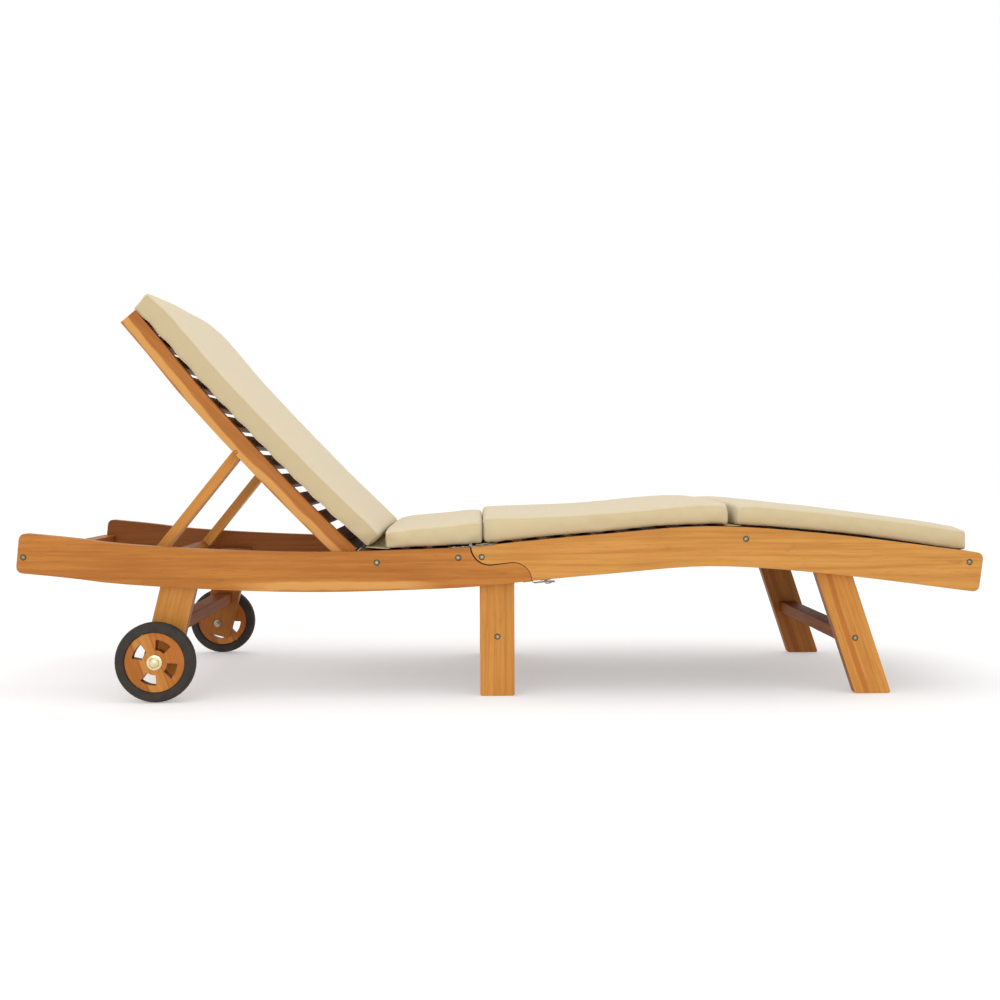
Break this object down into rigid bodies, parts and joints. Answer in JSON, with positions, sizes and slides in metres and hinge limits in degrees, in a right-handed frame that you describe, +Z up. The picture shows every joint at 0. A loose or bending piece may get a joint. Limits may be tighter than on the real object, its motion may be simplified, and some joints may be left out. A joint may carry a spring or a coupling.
{
  "type": "sun lounger",
  "caption": "Reclining, folding wooden sun lounger on legs and wheels: curved side rails, slatted deck, propped backrest and a sectioned cushion",
  "frame": {"origin": "on the ground, under the middle of the lounger's length and width", "axes": "+X towards the foot end, +Y across to the left side, +Z up"},
  "size_m": [2.0005, 0.6886, 0.8293],
  "materials": {
    "oiled_hardwood": "oiled honey-orange hardwood, satin, open grain",
    "hardwood_cross": "the same hardwood, unoiled and darker below the deck",
    "cushion_cloth": "plain-woven cream beige outdoor cloth, matt",
    "tyre_rubber": "dark rubber tread, matt",
    "zinc_steel": "zinc-plated steel, satin",
    "yellow_zinc": "yellow-chromated zinc-plated steel"
  },
  "bodies": {
    "head_frame": {"head_rail_right": "oiled_hardwood", "head_rail_left": "oiled_hardwood", "head_end_rail": "oiled_hardwood", "rack_right": "oiled_hardwood", "rack_left": "oiled_hardwood", "seat_rear_rail": "hardwood_cross", "seat_front_rail": "hardwood_cross", "seat_slats": "oiled_hardwood", "wheel_leg_right": "oiled_hardwood", "wheel_leg_left": "oiled_hardwood", "wheel_stretcher": "oiled_hardwood", "middle_leg_right": "oiled_hardwood", "middle_leg_left": "oiled_hardwood", "middle_stretcher": "oiled_hardwood", "axle_bolt_right": "yellow_zinc", "axle_bolt_left": "yellow_zinc", "fold_hinge_head_leaf_right": "zinc_steel", "fold_hinge_head_leaf_left": "zinc_steel", "latch_catch_right": "zinc_steel", "latch_catch_left": "zinc_steel", "back_hinge_seat_leaf_right": "zinc_steel", "back_hinge_seat_leaf_left": "zinc_steel", "seat_cushion": "cushion_cloth"},
    "foot_frame": {"foot_rail_right": "oiled_hardwood", "foot_rail_left": "oiled_hardwood", "foot_front_rail": "hardwood_cross", "foot_middle_rail": "hardwood_cross", "foot_end_rail": "hardwood_cross", "leg_rest_slats": "oiled_hardwood", "foot_end_slats": "oiled_hardwood", "foot_leg_right": "oiled_hardwood", "foot_leg_left": "oiled_hardwood", "foot_stretcher": "oiled_hardwood", "fold_hinge_foot_leaf_right": "zinc_steel", "fold_hinge_foot_leaf_left": "zinc_steel", "latch_base_right": "zinc_steel", "latch_base_left": "zinc_steel", "knee_cushion": "cushion_cloth", "foot_cushion": "cushion_cloth"},
    "backrest": {"back_rail_right": "oiled_hardwood", "back_rail_left": "oiled_hardwood", "back_lower_rail": "hardwood_cross", "back_slats": "oiled_hardwood", "back_hinge_back_leaf_right": "zinc_steel", "back_hinge_back_leaf_left": "zinc_steel", "prop_pin_right": "zinc_steel", "prop_pin_left": "zinc_steel", "back_cushion": "cushion_cloth"},
    "prop": {"prop_arm_right": "oiled_hardwood", "prop_arm_left": "oiled_hardwood", "prop_bar": "oiled_hardwood"},
    "wheel_right": {"wheel_disc_right": "oiled_hardwood", "tyre_right": "tyre_rubber"},
    "wheel_left": {"wheel_disc_left": "oiled_hardwood", "tyre_left": "tyre_rubber"},
    "lever_right": {"latch_lever_right": "zinc_steel"},
    "lever_left": {"latch_lever_left": "zinc_steel"},
    "bail_right": {"latch_bail_right": "zinc_steel"},
    "bail_left": {"latch_bail_left": "zinc_steel"}
  },
  "joints": [
    {"name": "back_recline", "type": "hinge", "parent": "head_frame", "child": "backrest", "pos_m": [-0.301, 0, 0.3055], "axis": [0, 1, 0], "range_deg": [-44.2, 0]},
    {"name": "prop_swing", "type": "hinge", "parent": "backrest", "child": "prop", "pos_m": [-0.5534, 0, 0.5111], "axis": [0, 1, 0], "range_deg": [0, 101]},
    {"name": "half_fold", "type": "hinge", "parent": "head_frame", "child": "foot_frame", "pos_m": [-0.0675, 0, 0.317], "axis": [0, -1, 0], "range_deg": [0, 125], "deforming": ["seat_cushion"]},
    {"name": "wheel_spin_right", "type": "hinge", "parent": "head_frame", "child": "wheel_right", "pos_m": [-0.7125, -0.3265, 0.0825], "axis": [0, 1, 0], "continuous": true},
    {"name": "wheel_spin_left", "type": "hinge", "parent": "head_frame", "child": "wheel_left", "pos_m": [-0.7125, 0.3265, 0.0825], "axis": [0, 1, 0], "continuous": true},
    {"name": "latch_lever_right", "type": "hinge", "parent": "foot_frame", "child": "lever_right", "pos_m": [0.08791, -0.298, 0.2404], "axis": [0, 1, 0], "range_deg": [0, 120]},
    {"name": "latch_bail_right", "type": "hinge", "parent": "lever_right", "child": "bail_right", "pos_m": [0.09439, -0.298, 0.24099], "axis": [0, 1, 0], "range_deg": [-150, 0]},
    {"name": "latch_lever_left", "type": "hinge", "parent": "foot_frame", "child": "lever_left", "pos_m": [0.08791, 0.298, 0.2404], "axis": [0, 1, 0], "range_deg": [0, 120]},
    {"name": "latch_bail_left", "type": "hinge", "parent": "lever_left", "child": "bail_left", "pos_m": [0.09439, 0.298, 0.24099], "axis": [0, 1, 0], "range_deg": [-150, 0]}
  ],
  "couplings": [
    {"joint": "prop_swing", "follows": "back_recline", "ratio": -2.285},
    {"joint": "latch_bail_right", "follows": "latch_lever_right", "ratio": -1.25},
    {"joint": "latch_bail_left", "follows": "latch_lever_left", "ratio": -1.25}
  ]
}
